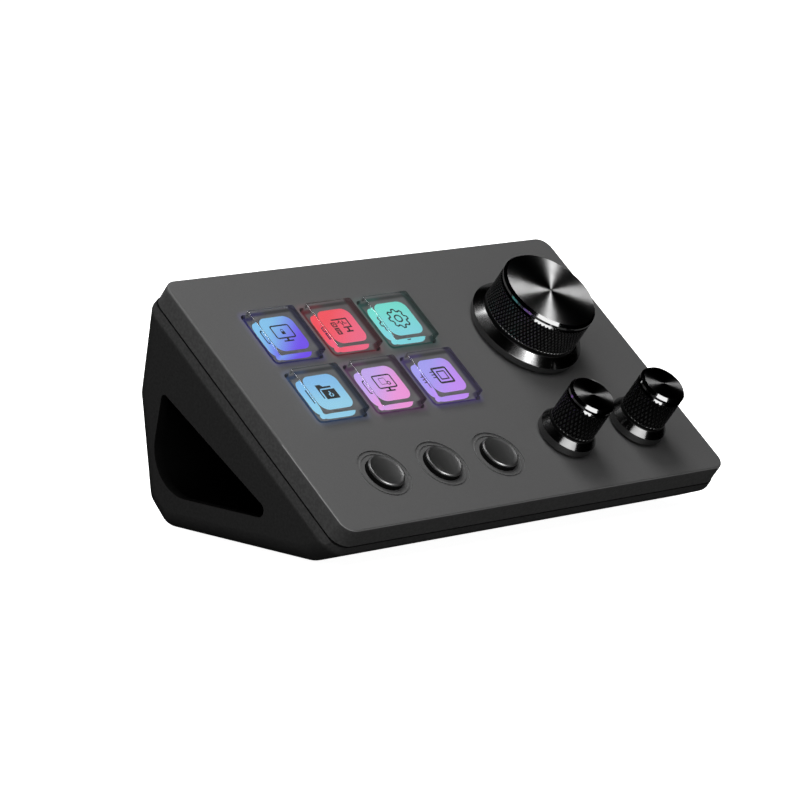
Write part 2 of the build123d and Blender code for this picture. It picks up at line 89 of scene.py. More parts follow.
class Finish:
    """A material with one Principled shader, built up node by node."""

    def __init__(self, name, **constants):
        self.material = bpy.data.materials.new(name)
        self.material.use_nodes = True
        self.tree = self.material.node_tree
        self.shader = self.tree.nodes["Principled BSDF"]
        for key, value in constants.items():       # specular_ior_level is "Specular IOR Level"
            socket = key.replace("_", " ").title().replace("Ior", "IOR")
            self.shader.inputs[socket].default_value = value

    def node(self, kind, settings=None, inputs=None, output=0):
        made = self.tree.nodes.new(kind)
        for key, value in (settings or {}).items():
            setattr(made, key, value)
        for key, value in (inputs or {}).items():
            if isinstance(value, Wire):
                self.tree.links.new(value.socket, made.inputs[key])
            else:
                made.inputs[key].default_value = value
        return Wire(self, made.outputs[output])

    def feed(self, socket, wire):
        self.tree.links.new(wire.socket, self.shader.inputs[socket])

    def position(self):
        return self.node("ShaderNodeTexCoord", output="Object")

    def noise(self, where, scale, detail=2.0):
        inputs = {"Vector": where, "Scale": scale, "Detail": detail}
        return self.node("ShaderNodeTexNoise", {}, inputs)

    def blend(self, factor, low, high):
        settings = {"data_type": "RGBA"}            # whose colours are sockets 6, 7 and output 2
        inputs = {0: factor, 6: low, 7: high}
        return self.node("ShaderNodeMix", settings, inputs, output=2)

    def between(self, wire, low, high, to_low=0.0, to_high=1.0):
        """From to_low to to_high, eased, as the value goes from low to high."""
        settings = {"interpolation_type": "SMOOTHSTEP"}
        inputs = {
            "Value": wire, "From Min": low, "From Max": high, "To Min": to_low, "To Max": to_high,
        }
        return self.node("ShaderNodeMapRange", settings, inputs)

    def bump(self, height, distance, strength):
        inputs = {"Height": height, "Distance": distance, "Strength": strength}
        self.feed("Normal", self.node("ShaderNodeBump", {}, inputs))


def grey(level):
    """Linear colour of an even grey given as it looks on a screen, 0 to 255."""
    part = level / 255
    part = part / 12.92 if part <= 0.04045 else ((part + 0.055) / 1.055) ** 2.4
    return (part, part, part, 1.0)


def tint(red, green, blue):
    return (grey(red)[0], grey(green)[0], grey(blue)[0], 1.0)


paper = Finish("studio_paper", roughness=0.9, specular_ior_level=0.0, emission_strength=0.97,
               emission_color=(1, 1, 1, 1))
paper_place = paper.position()
paper.feed("Base Color", paper.blend(paper.noise(paper_place, 30.0), grey(247), grey(249)))
floor.data.materials.append(paper.material)
floor.visible_diffuse = False
floor.visible_glossy = False
floor.visible_shadow = False

world = bpy.data.worlds.new("studio_air")
world.use_nodes = True
world.node_tree.nodes["Background"].inputs["Color"].default_value = (1.0, 1.0, 1.0, 1.0)
world.node_tree.nodes["Background"].inputs["Strength"].default_value = 0.075
world.cycles_visibility.glossy = False
bpy.context.scene.world = world
bpy.context.scene.view_settings.view_transform = "Standard"


def soft_box(name, direction, distance, width, height, radiance, aim=(0, 0, 0.03)):
    """An evenly lit rectangle at a distance from the object, facing it."""
    lamp = bpy.data.lights.new(name, "AREA")
    lamp.shape = "RECTANGLE"
    lamp.size, lamp.size_y = width, height
    lamp.energy = radiance * pi * width * height
    lamp_object = bpy.data.objects.new(name, lamp)
    bpy.context.collection.objects.link(lamp_object)
    away = Vector(direction).normalized()
    lamp_object.location = Vector(aim) + away * distance
    lamp_object.rotation_euler = away.to_track_quat("Z", "Y").to_euler()
    return lamp_object


soft_box("overhead_box", (0, 0, 1), 0.77, 0.30, 0.48, 8.5, aim=(-0.042, 0.07, 0.03))
front_box = soft_box("front_box", (-0.009, -0.88, 0.46), 0.90, 0.19, 0.34, 26.0)
low_box = soft_box("low_box", (-0.32, -0.945, 0.05), 0.90, 0.80, 0.50, 3.4)
front_box.visible_diffuse = False
low_box.visible_diffuse = False
side_fill = soft_box(
    "side_fill", (-0.63, -0.28, 0.72), 0.28, 0.30, 0.40, 1.35, aim=(-0.06, 0, 0.04)
)
side_fill.visible_glossy = False
front_fill = soft_box("front_fill", (-0.08, -0.40, 0.91), 0.80, 0.50, 0.40, 1.6)
front_fill.visible_glossy = False
low_fill = soft_box("low_fill", (0, -0.79, -0.61), 0.80, 0.50, 0.40, 0.75)
low_fill.visible_glossy = False
low_fill.visible_camera = False
back_fill = soft_box("back_fill", (0.55, 0.80, 0.25), 0.80, 0.60, 0.40, 4.0)
back_fill.visible_glossy = False

lens = bpy.data.cameras.new("bench_camera")
lens.lens = 200.860
lens.sensor_width = 36.0
lens.clip_start, lens.clip_end = 0.05, 20.0
camera = bpy.data.objects.new("bench_camera", lens)
camera.location = (-0.760696, -0.7298791, 0.219185)
camera.rotation_euler = Euler([radians(v) for v in (79.71266, -1.84994, -45.34549)])
bpy.context.collection.objects.link(camera)
bpy.context.scene.camera = camera

# ---------------------------------------------------------------- top housing
# The sloping cover: one ABS moulding, fine-grained on the face and coarser on the sides, held
# by screws from inside. Its holes, button dishes and edge rounding come with the moulding.
TILT = radians(37.5)
PANEL_Y, PANEL_HEIGHT = -4.1773, 34.65
slope = Matrix.Translation((0, PANEL_Y * MM, PANEL_HEIGHT * MM)) @ Matrix.Rotation(TILT, 4, "X")

COLUMNS = (-42.3, -23.25, -4.2)         # the keys and the buttons stand in the same three
key_places = [(x, y) for y in (18.95, -0.1) for x in COLUMNS]


def slope_place(finish):
    """Across, up and out of the slope, in mm, for any piece drawn in the desk's frame."""
    spot = finish.node("ShaderNodeSeparateXYZ", {}, {0: finish.position()})
    x, y, z = (Wire(finish, spot.socket.node.outputs[i]) for i in range(3))
    y, z = y / MM - PANEL_Y, z / MM - PANEL_HEIGHT
    return x / MM, y * cos(TILT) + z * sin(TILT), z * cos(TILT) - y * sin(TILT)


GLOW_START, GLOW_END = 7.0, 6.0        # mm from a key's middle, then squared mm beyond that
NO_LIGHT = (0, 0, 0, 1)


def key_glow(finish, across, up, colours):
    """Soft coloured light that the lit keys throw on what is close round them."""
    total = None
    for (x, y), colour in zip(key_places, colours):
        larger = {"operation": "MAXIMUM"}
        dx = finish.node("ShaderNodeMath", larger, {0: abs(across - x) - GLOW_START, 1: 0.0})
        dy = finish.node("ShaderNodeMath", larger, {0: abs(up - y) - GLOW_START, 1: 0.0})
        away = dx * dx + dy * dy
        near = finish.between(away, 0.0, GLOW_END, 1.0, 0.0)
        lit = finish.blend(near, NO_LIGHT, colour)
        if total is None:
            total = lit
        else:
            settings = {"data_type": "RGBA", "blend_type": "ADD"}
            total = finish.node("ShaderNodeMix", settings, {0: 1.0, 6: total, 7: lit}, output=2)
    return total


PANEL_GLOW = [tint(70, 60, 140), tint(120, 45, 60), tint(45, 90, 85), tint(60, 80, 130),
              tint(110, 60, 110), tint(75, 60, 140)]

cover = Finish("cover_grain", specular_ior_level=0.25, emission_strength=0.25)
across, up, out = slope_place(cover)
spot = cover.position()
grain = cover.noise(spot, 3200.0, 2.0)
DISH_FLOOR, DISH_EDGE = -0.27, -0.14    # the walls of the buttons' dishes lie between these
BUTTONS_BELOW = -12.0                   # only those dishes lie lower than this on the slope
# Painted highlight: the dish walls and a thin line on the face's lower rounded edge are light grey.
painted_dish_highlight = cover.between(out, DISH_FLOOR - 0.04, DISH_FLOOR)
painted_dish_highlight = painted_dish_highlight * cover.between(out, DISH_EDGE, DISH_EDGE + 0.03, 1.0, 0.0)
painted_dish_highlight = painted_dish_highlight * cover.between(up, BUTTONS_BELOW - 1.0, BUTTONS_BELOW, 1.0, 0.0)
moulded = cover.blend(cover.between(grain, 0.3, 0.7), grey(88), grey(92))
moulded = cover.blend(painted_dish_highlight, moulded, grey(140))
coarse = cover.noise(spot, 1500.0, 3.0)
SIDES_BELOW = -0.6              # lower than the face and its rounding are the cover's sides
sides = cover.between(out, SIDES_BELOW - 0.5, SIDES_BELOW, 1.0, 0.0)
leather_and_joint_shade = cover.blend(cover.between(coarse, 0.3, 0.7), grey(82), grey(94))
COVER_END = -5.2                # the cover's lower edge, where painted shade darkens the joint line
# Painted shade: a dark strip along the cover's lower edge stands for the joint's shadow.
painted_joint_shadow = cover.between(out, COVER_END + 0.08, COVER_END + 0.12, 1.0, 0.0)
leather_and_joint_shade = cover.blend(painted_joint_shadow, leather_and_joint_shade, grey(20))
cover.feed("Base Color", cover.blend(sides, moulded, leather_and_joint_shade))
cover.feed("Roughness", cover.between(grain, 0.3, 0.7, 0.54, 0.58))
cover.bump(grain * 0.3 + coarse * sides, 0.00006, 0.5)
glow = key_glow(cover, across, up, PANEL_GLOW)
on_face = cover.between(out, -0.3, -0.05)
cover.feed("Emission Color", cover.blend(on_face, NO_LIGHT, glow))


def dress(node, finish):
    """Give a carried-over solid its finish."""
    mesh = nodes[node].data
    mesh.materials.clear()
    mesh.materials.append(finish.material)


dress("top_housing", cover)

# ---------------------------------------------------------------- stand
# The hollow wedge under the cover, moulded in grained black ABS: a lighter band below the
# joint line, and a three-cornered window in each side wall. Inside, painted shade makes it black.
SHOULDER, STAND_TOP = -7.75, -5.45
STAND_MIDDLE = (0.0, 0.012, 0.018)      # walls that face this point are inner walls

shell = Finish("stand_black", specular_ior_level=0.15)
across, up, out = slope_place(shell)
spot = shell.position()
grain = shell.noise(spot, 1500.0, 3.0)
fleck = shell.between(grain, 0.3, 0.7)
band = shell.between(out, SHOULDER - 0.8, SHOULDER + 0.6)
plain = shell.blend(fleck, grey(50), grey(56))
grained = shell.blend(fleck, grey(66), grey(77))
outside = shell.blend(band, plain, grained)
# Painted shade: a dark strip along the stand's upper edge stands for the joint's shadow.
stand_joint_shadow = shell.between(out, STAND_TOP - 0.08, STAND_TOP - 0.04)
outside = shell.blend(stand_joint_shadow, outside, grey(16))
# Painted shade: walls that face the stand's middle are painted near-black.
inputs = {0: spot, 1: STAND_MIDDLE}
from_middle = shell.node("ShaderNodeVectorMath", {"operation": "SUBTRACT"}, inputs)
inputs = {0: from_middle, 1: shell.node("ShaderNodeTexCoord", output="Normal")}
outward = shell.node("ShaderNodeVectorMath", {"operation": "DOT_PRODUCT"}, inputs, "Value")
shell.feed("Base Color", shell.blend(outward < 0.0, outside, grey(3)))
shell.feed("Roughness", shell.between(band, 0.0, 1.0, 0.62, 0.55))
shell.bump(grain, 0.00006, 0.5)
dress("base_shell", shell)

# ---------------------------------------------------------------- inside
# The deck, guide, boards and switches that carry the controls. They are black nylon and ABS
# mouldings and dark circuit boards, screwed up into the cover's bosses.
moulding = Finish("inner_moulding", specular_ior_level=0.3)
spot = moulding.position()
moulding.feed("Base Color", moulding.blend(moulding.noise(spot, 300.0), grey(14), grey(22)))
moulding.feed("Roughness", moulding.between(moulding.noise(spot, 900.0), 0.3, 0.7, 0.5, 0.7))

board = Finish("solder_mask")
spot = board.position()
inputs = {"Vector": spot, "Scale": 180.0, "Mortar Size": 0.012}
tracks = board.node("ShaderNodeTexBrick", {}, inputs, "Fac")
board.feed("Base Color", board.blend(tracks, tint(14, 44, 30), tint(26, 74, 48)))
board.feed("Roughness", board.between(board.noise(spot, 500.0), 0.3, 0.7, 0.25, 0.4))

plated = Finish("plated_steel", metallic=1.0)
spot = plated.position()
plated.feed("Base Color", plated.blend(plated.noise(spot, 400.0), grey(150), grey(176)))
plated.feed("Roughness", plated.between(plated.noise(spot, 1500.0), 0.3, 0.7, 0.22, 0.38))

zinc = Finish("black_zinc", metallic=1.0)
spot = zinc.position()
zinc.feed("Base Color", zinc.blend(zinc.noise(spot, 700.0), grey(60), grey(84)))
zinc.feed("Roughness", zinc.between(zinc.noise(spot, 1500.0), 0.3, 0.7, 0.3, 0.5))

rubber = Finish("foot_rubber", specular_ior_level=0.25)
spot = rubber.position()
rubber.feed("Base Color", rubber.blend(rubber.noise(spot, 500.0), grey(26), grey(38)))
rubber.feed("Roughness", rubber.between(rubber.noise(spot, 1200.0), 0.3, 0.7, 0.75, 0.9))
rubber.bump(rubber.noise(spot, 2200.0), 0.00004, 0.6)

for name in nodes:
    if name in ("top_housing", "base_shell"):
        continue
    if name in ("main_board", "usb_board"):
        dress(name, board)
    elif name == "usb_socket" or name.endswith("_shaft"):
        dress(name, plated)
    elif name.endswith("_screws"):
        dress(name, zinc)
    elif name == "rubber_feet":
        dress(name, rubber)
    else:
        dress(name, moulding)

# ---------------------------------------------------------------- display keys
# Six clear polycarbonate blocks, polished all over, each bonded on a grey moulded carrier. A
# lit tile lies on the carrier, so it shows through the top and again through the sides.
CAP_LOW, CAP_TOP = -0.62, 2.4
CARRIER_TOP = -0.6
CAP_FOOT_W, CAP_FOOT_R = 15.7, 2.2
CAP_TOP_W, CAP_TOP_R = 15.0, 0.6
BEVEL = 0.26
FLANGE_W, FLANGE_LOW, FLANGE_HIGH = 17.5, -3.5, -2.3
STEM_R, STEM_ROOT_R, STEM_ROOT_END, STEM_END = 1.7, 3.0, -4.1, -6.6
FLAT_AREA = 4 * MM ** 2         # faces larger than this are flat walls, not part of a rounding
TILE_W, TILE_D, TILE_R, TILE_LOW, TILE_TOP = 10.5, 10.4, 2.4, -0.61, -0.5
TILE_SHIFT = -0.1


def rounded_box(x, y, w, h, r, steps=4):
    """Corner points of a rectangle with rounded corners, about its middle."""
    ring = []
    for corner, (sx, sy) in enumerate(((1, 1), (-1, 1), (-1, -1), (1, -1))):
        for step in range(steps + 1):
            angle = (corner + step / steps) * pi / 2
            at_x, at_y = x + sx * (w / 2 - r), y + sy * (h / 2 - r)
            ring.append((at_x + r * cos(angle), at_y + r * sin(angle)))
    return ring


def rounded_square(width, depth, radius, height):
    """Points round a block or a tray with rounded corners, at one height."""
    return [(x, y, height) for x, y in rounded_box(0, 0, width, depth, radius, 8)]


def circle(radius, height, steps=36):
    """Points round a circle at one height, as many as a rounded square has."""
    turns = [2 * pi * (i + 0.5) / steps for i in range(steps)]
    return [(radius * cos(turn), radius * sin(turn), height) for turn in turns]


def skin(name, rings, material, place, body, smooth=25):
    """A closed piece through rings of points, standing on the slope at place."""
    mesh = bpy.data.meshes.new(name)
    size = len(rings[0])
    points = [tuple(c * MM for c in p) for ring in rings for p in ring]
    faces = [tuple(reversed(range(size)))]
    for row in range(len(rings) - 1):
        low, high = row * size, (row + 1) * size
        for i in range(size):
            j = (i + 1) % size
            faces.append((low + i, low + j, high + j, high + i))
    faces.append(tuple(range((len(rings) - 1) * size, len(rings) * size)))
    mesh.from_pydata(points, [], faces)
    for face in mesh.polygons:
        face.use_smooth = face.area < FLAT_AREA
    mesh.set_sharp_from_angle(angle=radians(smooth))
    mesh.materials.append(material)
    piece = bpy.data.objects.new(name, mesh)
    piece.matrix_world = slope @ Matrix.Translation([c * MM for c in place])
    bpy.context.collection.objects.link(piece)
    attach(piece, body)
    return piece


clear = Finish("clear_polycarbonate", roughness=0.0, ior=1.585, transmission_weight=1.0,
               base_color=(1, 1, 1, 1))
spot = clear.position()
faint_blue, white = (0.97, 0.98, 1, 1), (1, 1, 1, 1)
clear.feed("Base Color", clear.blend(clear.noise(spot, 200.0), faint_blue, white))

veiled = Finish("clear_top_face", roughness=0.0, ior=1.585, transmission_weight=0.977)
spot = veiled.position()
veiled.feed("Base Color", veiled.blend(veiled.noise(spot, 200.0), faint_blue, white))


def carrier_finish(name, glow):
    """Grey nylon, in shade at its right rim and lit by its own tile at the left and front rims."""
    finish = Finish(name, specular_ior_level=0.2)
    spot = finish.position()
    plain = finish.blend(finish.noise(spot, 300.0), grey(94), grey(100))
    finish.feed("Roughness", finish.between(finish.noise(spot, 900.0), 0.3, 0.7, 0.5, 0.6))
    parts = finish.node("ShaderNodeSeparateXYZ", {}, {0: spot})
    x, y = (Wire(finish, parts.socket.node.outputs[i]) / MM for i in range(2))
    # The back rim lies in shade, with some of the tile's light at its left end.
    back = finish.between(y, 5.8, 6.6) * finish.between(y, 6.9, 7.6, 1.0, 0.0)
    corner = finish.blend(finish.between(x, -4.0, 0.0, 0.8, 0.0), grey(50), glow)
    shaded = finish.blend(back, plain, corner)
    # The right rim lies in deeper shade.
    edge = finish.blend(0.3, tint(3, 3, 8), glow)
    shaded = finish.blend(finish.between(x, 5.9, 7.1), shaded, edge)
    # The left and front rims take the tile's light.
    left, front = finish.between(x, -5.9, -5.6, 1.0, 0.0), finish.between(y, -6.3, -6.0, 1.0, 0.0)
    lit_rim = finish.node("ShaderNodeMath", {"operation": "MAXIMUM"}, {0: left, 1: front})
    finish.feed("Base Color", finish.blend(lit_rim, shaded, glow))
    return finish


RIM_GLOW = [tint(46, 42, 92), tint(98, 34, 44), tint(34, 78, 70), tint(44, 62, 92),
            tint(84, 50, 84), tint(66, 52, 104)]

DIAGONAL, DOWNWARD = (0.7, -0.7), (0.0, -1.0)
TILES = [
    (tint(135, 199, 241), tint(114, 79, 241), DIAGONAL),
    (tint(248, 84, 95), tint(246, 107, 137), DIAGONAL),
    (tint(120, 226, 212), tint(132, 218, 227), DOWNWARD),
    (tint(134, 193, 240), tint(152, 212, 238), DOWNWARD),
    (tint(200, 172, 244), tint(245, 155, 223), DIAGONAL),
    (tint(168, 163, 246), tint(200, 145, 250), DIAGONAL),
]
icon_ink = Finish("display_ink", roughness=0.6, specular_ior_level=0.0)
spot = icon_ink.position()
icon_ink.feed("Base Color", icon_ink.blend(icon_ink.noise(spot, 800.0), grey(44), grey(56)))


def ribbon(points, width, closed=False):
    """A flat line of one width through points, as corner points and quads."""
    count = len(points)
    left, right = [], []
    for i, (x, y) in enumerate(points):
        ahead = points[(i + 1) % count] if closed or i + 1 < count else None
        behind = points[i - 1] if closed or i else None
        legs = []
        for start, end in ((behind, (x, y)), ((x, y), ahead)):
            if start is not None and end is not None:
                run = Vector((end[0] - start[0], end[1] - start[1])).normalized()
                legs.append(Vector((-run.y, run.x)))
        side = sum(legs, Vector((0, 0))).normalized()
        side *= width / 2 / max(side.dot(legs[0]), 0.35)
        left.append((x + side.x, y + side.y))
        right.append((x - side.x, y - side.y))
    faces = []
    for i in range(count if closed else count - 1):
        j = (i + 1) % count
        faces.append((i, j, count + j, count + i))
    return left + right, faces


def plate(points):
    """A filled shape, as corner points and one face."""
    return list(points), [tuple(range(len(points)))]


def arc(x, y, r, first, last, steps=16):
    """Points along a part of a circle, from the first to the last angle in degrees."""
    turns = [radians(first + (last - first) * i / steps) for i in range(steps + 1)]
    return [(x + r * cos(turn), y + r * sin(turn)) for turn in turns]


# The icons' strokes, in mm from a tile's middle before scaling: a screen, a padlock, a tower
# with its screen, a gear, a folder, a page and a chip.
LINE = 0.37
screen = [
    ribbon(rounded_box(0, 0.55, 5.2, 3.5, 0.45), LINE, True),
    ribbon([(0, -1.2), (0, -2.0)], LINE * 1.6),
    ribbon([(-1.4, -2.1), (1.4, -2.1)], LINE),
]
padlock = [
    plate(rounded_box(0, 0.2, 1.0, 0.8, 0.12)),
    ribbon([(0.34, 0.6), *arc(0, 0.85, 0.34, 0, 180, 8), (-0.34, 0.6)], 0.16),
]
tower = [
    plate(rounded_box(-1.95, -1.35, 1.35, 1.9, 0.15)),
    ribbon(rounded_box(-1.95, 0.55, 1.2, 1.1, 0.1), 0.3, True),
    ribbon([(-2.3, 0.3), (-1.9, 0.75), (-1.6, 0.45)], 0.16),
    ribbon([(-1.9, 1.9), (2.4, 1.9), (2.4, -0.5), (0.1, -0.5)], LINE),
    ribbon(
        [(-0.9, 0.9), (-0.3, 0.9), (0, 1.5), (0.5, 0.1), (0.9, 1.3), (1.2, 0.6), (1.9, 0.6)], 0.2
    ),
    ribbon([(1.2, -0.6), (1.2, -1.6)], 0.5),
    ribbon([(0.2, -1.7), (2.2, -1.7)], 0.4),
]
teeth = []
for tooth in range(8):
    for turn, r in ((-16, 2.1), (-11, 2.45), (-6, 2.7), (6, 2.7), (11, 2.45), (16, 2.1)):
        angle = radians(tooth * 45 + turn)
        teeth.append((r * cos(angle), r * sin(angle)))
gear = [ribbon(teeth, LINE, True), ribbon(arc(0, 0, 0.95, 0, 337.5, 15), LINE, True)]
folder = [
    plate([(-2.3, 2.1), (-0.9, 2.1), (-0.4, 1.5), (1.7, 1.5), (1.7, 1), (-1.5, 1), (-2.3, -0.2)]),
    ribbon([(-2.1, 0.4), (-2.1, -1.7)], 0.35),
    plate([(-1.5, 0.65), (2.3, 0.65), (2.3, -2.0), (-1.5, -2.0)]),
]
page = [
    ribbon(rounded_box(-0.35, 0.65, 1.7, 1.7, 0.2), 0.14, True),
    ribbon(arc(0.95, 0.0, 0.42, 0, 337.5, 15), 0.26, True),
]
chip = [
    ribbon(rounded_box(0.25, 0, 4.1, 4.1, 0.3), LINE * 1.4, True),
    ribbon(rounded_box(0.25, 0, 2.2, 2.2, 0.1), LINE * 0.9, True),
    ribbon([(-2.9, 1.2), (-1.9, 1.2)], 0.26),
    ribbon([(-2.9, 0.4), (-1.9, 0.4)], 0.26),
    ribbon([(-2.9, -0.4), (-1.9, -0.4)], 0.26),
]
CUTS = {                        # lit lines inside the dark shapes of the second and fourth icon
    2: [
        ribbon([(-2.4, -0.9), (-1.5, -0.9)], 0.16),
        ribbon([(-2.4, -1.3), (-1.5, -1.3)], 0.16),
        ribbon(arc(-1.95, -1.8, 0.2, 0, 337.5, 15), 0.14, True),
    ],
    4: [
        ribbon([(0.1, -1.4), (-0.1, -0.8), (0.5, -0.4), (0.3, 0.1)], 0.3),
        ribbon([(0.4, -1.4), (0.9, -1.1), (0.85, -0.6)], 0.26),
    ],
}
ICON_SCALE, ICON_LIFT = 1.1, 0.01
ICONS = [screen + padlock, tower, gear, folder, screen + page, chip]


def draw_icon(name, strokes, place, body, ink):
    """Flat faces for an icon's strokes, at place on the slope."""
    points, faces = [], []
    for at, some in strokes:
        faces += [tuple(len(points) + i for i in face) for face in some]
        points += [(x * ICON_SCALE * MM, y * ICON_SCALE * MM, 0.0) for x, y in at]
    mesh = bpy.data.meshes.new(name)
    mesh.from_pydata(points, [], faces)
    mesh.materials.append(ink.material)
    piece = bpy.data.objects.new(name, mesh)
    piece.matrix_world = slope @ Matrix.Translation([c * MM for c in place])
    bpy.context.collection.objects.link(piece)
    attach(piece, body)


KEYS = zip(key_places, TILES, ICONS, RIM_GLOW)
for number, ((x, y), (first, second, run), icon, rim_glow) in enumerate(KEYS, 1):
    body = f"key_{number}"
    # The clear block draws in towards its top, where a fine bevel runs round it.
    rings = []
    wall_height = CAP_TOP - BEVEL - CAP_LOW
    for share in (0.0, 0.25, 0.5, 0.75, 1.0):
        width = CAP_FOOT_W + (CAP_TOP_W - CAP_FOOT_W) * share
        radius = CAP_FOOT_R + (CAP_TOP_R - CAP_FOOT_R) * share
        rings.append(rounded_square(width, width, radius, CAP_LOW + wall_height * share))
    for turn in (25, 45, 65, 90):
        inward, up = BEVEL * (1 - cos(radians(turn))), BEVEL * sin(radians(turn))
        width = CAP_TOP_W - 2 * inward
        rings.append(rounded_square(width, width, CAP_TOP_R - inward, CAP_TOP - BEVEL + up))
    cap = skin(f"clear_key_{number}", rings, clear.material, (x, y, 0), body)
    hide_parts(f"key_cap_{number}")
    for face in cap.data.polygons:
        if face.normal.z > 0.99:
            face.material_index = 1
    cap.data.materials.append(veiled.material)
    # The carrier is a round stem, a square stop flange and a block up to the tile.
    rings = [
        circle(STEM_R, STEM_END), circle(STEM_R, STEM_ROOT_END), circle(STEM_ROOT_R, STEM_ROOT_END),
        circle(STEM_ROOT_R, FLANGE_LOW), rounded_square(FLANGE_W, FLANGE_W, 0.2, FLANGE_LOW),
        rounded_square(FLANGE_W, FLANGE_W, 0.2, FLANGE_HIGH),
        rounded_square(CAP_FOOT_W, CAP_FOOT_W, CAP_FOOT_R, FLANGE_HIGH),
        rounded_square(CAP_FOOT_W, CAP_FOOT_W, CAP_FOOT_R, CARRIER_TOP),
    ]
    grey_nylon = carrier_finish(f"carrier_grey_{number}", rim_glow)
    tray = skin(f"carrier_{number}", rings, grey_nylon.material, (x, y, 0), body)
    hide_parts(f"key_carrier_{number}")
    # The tile fades from one colour into another, and its icon lies on it.
    lit = Finish(f"lit_tile_{number}", roughness=0.5, specular_ior_level=0.0, emission_strength=1.0)
    spot = lit.node("ShaderNodeSeparateXYZ", {}, {0: lit.position()})
    sideways, upward = spot, Wire(lit, spot.socket.node.outputs[1])
    share = (sideways * run[0] + upward * run[1]) / (TILE_W * MM * 0.9) + 0.5
    colour = lit.blend(lit.between(share, 0.0, 1.0), first, second)
    lit.feed("Emission Color", colour)
    lit.feed("Base Color", lit.blend(lit.between(share, 0.0, 1.0), grey(20), grey(24)))
    rings = [rounded_square(TILE_W, TILE_D, TILE_R, height) for height in (TILE_LOW, TILE_TOP)]
    tile = skin(f"tile_{number}", rings, lit.material, (x + TILE_SHIFT, y, 0), body)
    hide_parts(f"key_display_{number}")
    place = (x + TILE_SHIFT, y, TILE_TOP + ICON_LIFT)
    draw_icon(f"icon_{number}", icon, place, body, icon_ink)
    if number in CUTS:
        place = (x + TILE_SHIFT, y, TILE_TOP + 2 * ICON_LIFT)
        draw_icon(f"icon_cut_{number}", CUTS[number], place, body, lit)

# ---------------------------------------------------------------- push buttons
# Three turned-looking caps moulded in black ABS, with a fine bevel round a slightly hollow
# top. A flange under the panel keeps each in its hole.
BUTTON_R, BUTTON_TOP, BUTTON_ROW = 4.85, 1.3, -25.3
KEEPER_R, KEEPER_LOW, KEEPER_TOP = 5.9, -3.2, -2.3      # the flange
PAD_R, PAD_LOW = 2.4, -3.4                              # the pad that bears on the switch


def turned(name, outline, material, place, body, steps=96):
    """A piece turned about the slope's outward direction, from (radius, height) points."""
    rings = []
    for r, z in outline:
        turns = [2 * pi * i / steps for i in range(steps)]
        rings.append([(r * cos(turn), r * sin(turn), z) for turn in turns])
    return skin(name, rings, material, place, body)


button_black = Finish("button_lacquer", ior=2.4, specular_ior_level=0.62)
spot = button_black.position()
fine = button_black.noise(spot, 2400.0)
button_black.feed("Base Color", button_black.blend(fine, grey(14), grey(22)))
button_black.feed("Roughness", button_black.between(fine, 0.3, 0.7, 0.35, 0.38))
button_black.bump(fine, 0.00001, 0.3)

button_wall = Finish("button_wall", specular_ior_level=0.1)
spot = button_wall.position()
fine = button_wall.noise(spot, 900.0)
button_wall.feed("Base Color", button_wall.blend(fine, grey(8), grey(14)))
button_wall.feed("Roughness", button_wall.between(fine, 0.3, 0.7, 0.5, 0.6))

DISH_R, DISH_DEPTH = 4.1, 0.44
dish = [
    (DISH_R * share, BUTTON_TOP - 0.1 - DISH_DEPTH * (1 - share ** 2))
    for share in (1.0, 0.85, 0.7, 0.55, 0.4, 0.25, 0.1, 0.02)
]
for number, x in enumerate(COLUMNS, 1):
    outline = [
        (PAD_R, PAD_LOW), (PAD_R, KEEPER_LOW), (KEEPER_R, KEEPER_LOW), (KEEPER_R, KEEPER_TOP),
        (BUTTON_R, KEEPER_TOP), (BUTTON_R, BUTTON_TOP - 0.5), (BUTTON_R - 0.08, BUTTON_TOP - 0.24),
        (BUTTON_R - 0.26, BUTTON_TOP - 0.06), (BUTTON_R - 0.45, BUTTON_TOP),
        (BUTTON_R - 0.6, BUTTON_TOP - 0.03), *dish,
    ]
    cap = turned(
        f"round_button_{number}", outline, button_black.material, (x, BUTTON_ROW, 0),
        f"button_{number}",
    )
    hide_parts(f"button_cap_{number}")
    cap.data.materials.append(button_wall.material)
    for face in cap.data.polygons:
        if face.center.z < 0:
            face.material_index = 1

# ---------------------------------------------------------------- knobs
# Turned from aluminium and black anodised: a flared skirt, a barrel with a diamond knurl, a
# bright chamfer cut through it, a groove, and a spun face inside a polished bevel.
anodised = Finish("black_anodised", metallic=1.0, anisotropic=0.8, anisotropic_rotation=0.25)
spot = anodised.position()
anodised.feed("Base Color", anodised.blend(anodised.noise(spot, 800.0), grey(111), grey(117)))
anodised.feed("Roughness", anodised.between(anodised.noise(spot, 300.0), 0.3, 0.7, 0.175, 0.185))


def spun_face(name, low, high):
    """A face turned from edge to middle, whose fine grooves spread the light into rays."""
    finish = Finish(name, metallic=1.0, anisotropic=1.0, anisotropic_rotation=0.25)
    spot = finish.position()
    finish.feed("Base Color", finish.blend(finish.noise(spot, 800.0), grey(low), grey(high)))
    finish.feed("Roughness", finish.between(finish.noise(spot, 300.0), 0.3, 0.7, 0.31, 0.34))
    return finish


big_face = spun_face("big_spun_face", 200, 208)
# Painted shade: the small knobs' copy of the spun face is darker than the big knob's.
small_face = spun_face("small_spun_face", 138, 146)

KNURL_DEPTH = 0.16
TIP_PULL = 0.35                 # the share of a step by which each diamond's flat tip is drawn in


